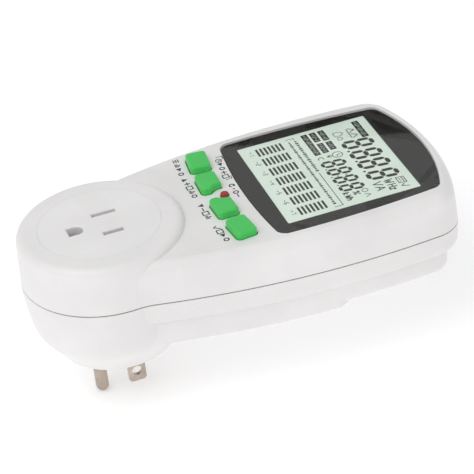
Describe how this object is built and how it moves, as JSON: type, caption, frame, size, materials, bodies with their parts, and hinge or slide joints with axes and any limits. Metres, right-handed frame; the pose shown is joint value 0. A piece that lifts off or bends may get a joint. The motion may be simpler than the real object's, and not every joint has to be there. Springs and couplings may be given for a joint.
{
  "type": "plug-in power meter",
  "caption": "Plug-in mains power meter with a rear plug, a raised front socket, press keys, a small reset button and a framed display.",
  "frame": {"origin": "on the ground prong's axis, in the plane of the plug's face, so the face meets the wall plate at z = 0 and the prongs reach below it", "axes": "+Z out of the front face, away from the wall; +Y towards the display end; +X to the reader's right when the display is read with +Y up"},
  "size_m": [0.0794, 0.1549, 0.0688],
  "materials": {
    "housing_plastic": "satin white moulding",
    "insert_plastic": "satin white moulding",
    "plug_plastic": "satin off-white moulding",
    "contact_plastic": "matte thermoset",
    "plated_blade": "nickel plated, fine drawn",
    "contact_brass": "stamped spring brass",
    "bar_brass": "stamped strip",
    "lens_clear": "polished smoke tint",
    "mask_ink": "printed dark border",
    "lcd_glass": "pale green panel",
    "reflector_film": "pearly film",
    "zebra_rubber": "layered elastomer",
    "holder_plastic": "matte",
    "board_laminate": "green solder mask",
    "key_green": "satin translucent green",
    "reset_red": "satin red",
    "switch_plastic": "matte black",
    "plunger_plastic": "satin black",
    "screw_steel": "zinc plated",
    "chip_epoxy": "matte black epoxy",
    "film_case": "yellow moulded case",
    "varistor_coat": "dipped blue coat",
    "can_sleeve": "shrink sleeve",
    "resistor_body": "lacquered",
    "battery_wrap": "shrink sleeve",
    "can_metal": "drawn can",
    "shunt_alloy": "rolled strip",
    "link_plastic": "matte black"
  },
  "bodies": {
    "housing": {"front_shell": "housing_plastic", "rear_shell": "housing_plastic", "socket_face": "insert_plastic", "plug_base": "plug_plastic", "prong_clamp": "plug_plastic", "neutral_blade": "plated_blade", "line_blade": "plated_blade", "ground_prong": "plated_blade", "contact_block": "contact_plastic", "neutral_contact": "contact_brass", "line_contact": "contact_brass", "ground_contact": "contact_brass", "neutral_bar": "bar_brass", "line_in_bar": "bar_brass", "line_out_bar": "bar_brass", "ground_strap": "bar_brass", "display_lens": "lens_clear", "lens_mask": "mask_ink", "lcd_glass": "lcd_glass", "lcd_reflector": "reflector_film", "zebra_connectors": "zebra_rubber", "lcd_holder": "holder_plastic", "display_board": "board_laminate", "power_board": "board_laminate", "key_switches": "switch_plastic", "reset_switch": "switch_plastic", "case_screws": "screw_steel", "display_board_screws": "screw_steel", "contact_block_screws": "screw_steel", "power_board_screws": "screw_steel", "clamp_screws": "screw_steel", "metering_chip": "chip_epoxy", "rectifier": "chip_epoxy", "controller_chip": "chip_epoxy", "x_capacitor": "film_case", "varistor": "varistor_coat", "filter_capacitor": "can_sleeve", "dropper_resistor": "resistor_body", "backup_battery": "battery_wrap", "crystal": "can_metal", "shunt_resistor": "shunt_alloy", "link_header": "link_plastic", "link_socket": "link_plastic"},
    "key_menu": {"key_menu": "key_green", "plunger_menu": "plunger_plastic"},
    "key_up": {"key_up": "key_green", "plunger_up": "plunger_plastic"},
    "key_down": {"key_down": "key_green", "plunger_down": "plunger_plastic"},
    "key_enter": {"key_enter": "key_green", "plunger_enter": "plunger_plastic"},
    "reset": {"reset_button": "reset_red", "plunger_reset": "plunger_plastic"}
  },
  "joints": [
    {"name": "press_menu", "type": "slide", "parent": "housing", "child": "key_menu", "axis": [0, 0, -1], "range_m": [0, 0.0008], "stiffness_N_per_m": 1500, "springref_m": -0.0002},
    {"name": "press_up", "type": "slide", "parent": "housing", "child": "key_up", "axis": [0, 0, -1], "range_m": [0, 0.0008], "stiffness_N_per_m": 1500, "springref_m": -0.0002},
    {"name": "press_down", "type": "slide", "parent": "housing", "child": "key_down", "axis": [0, 0, -1], "range_m": [0, 0.0008], "stiffness_N_per_m": 1500, "springref_m": -0.0002},
    {"name": "press_enter", "type": "slide", "parent": "housing", "child": "key_enter", "axis": [0, 0, -1], "range_m": [0, 0.0008], "stiffness_N_per_m": 1500, "springref_m": -0.0002},
    {"name": "press_reset", "type": "slide", "parent": "housing", "child": "reset", "axis": [0, 0, -1], "range_m": [0, 0.0005], "stiffness_N_per_m": 1500, "springref_m": -0.0002}
  ]
}
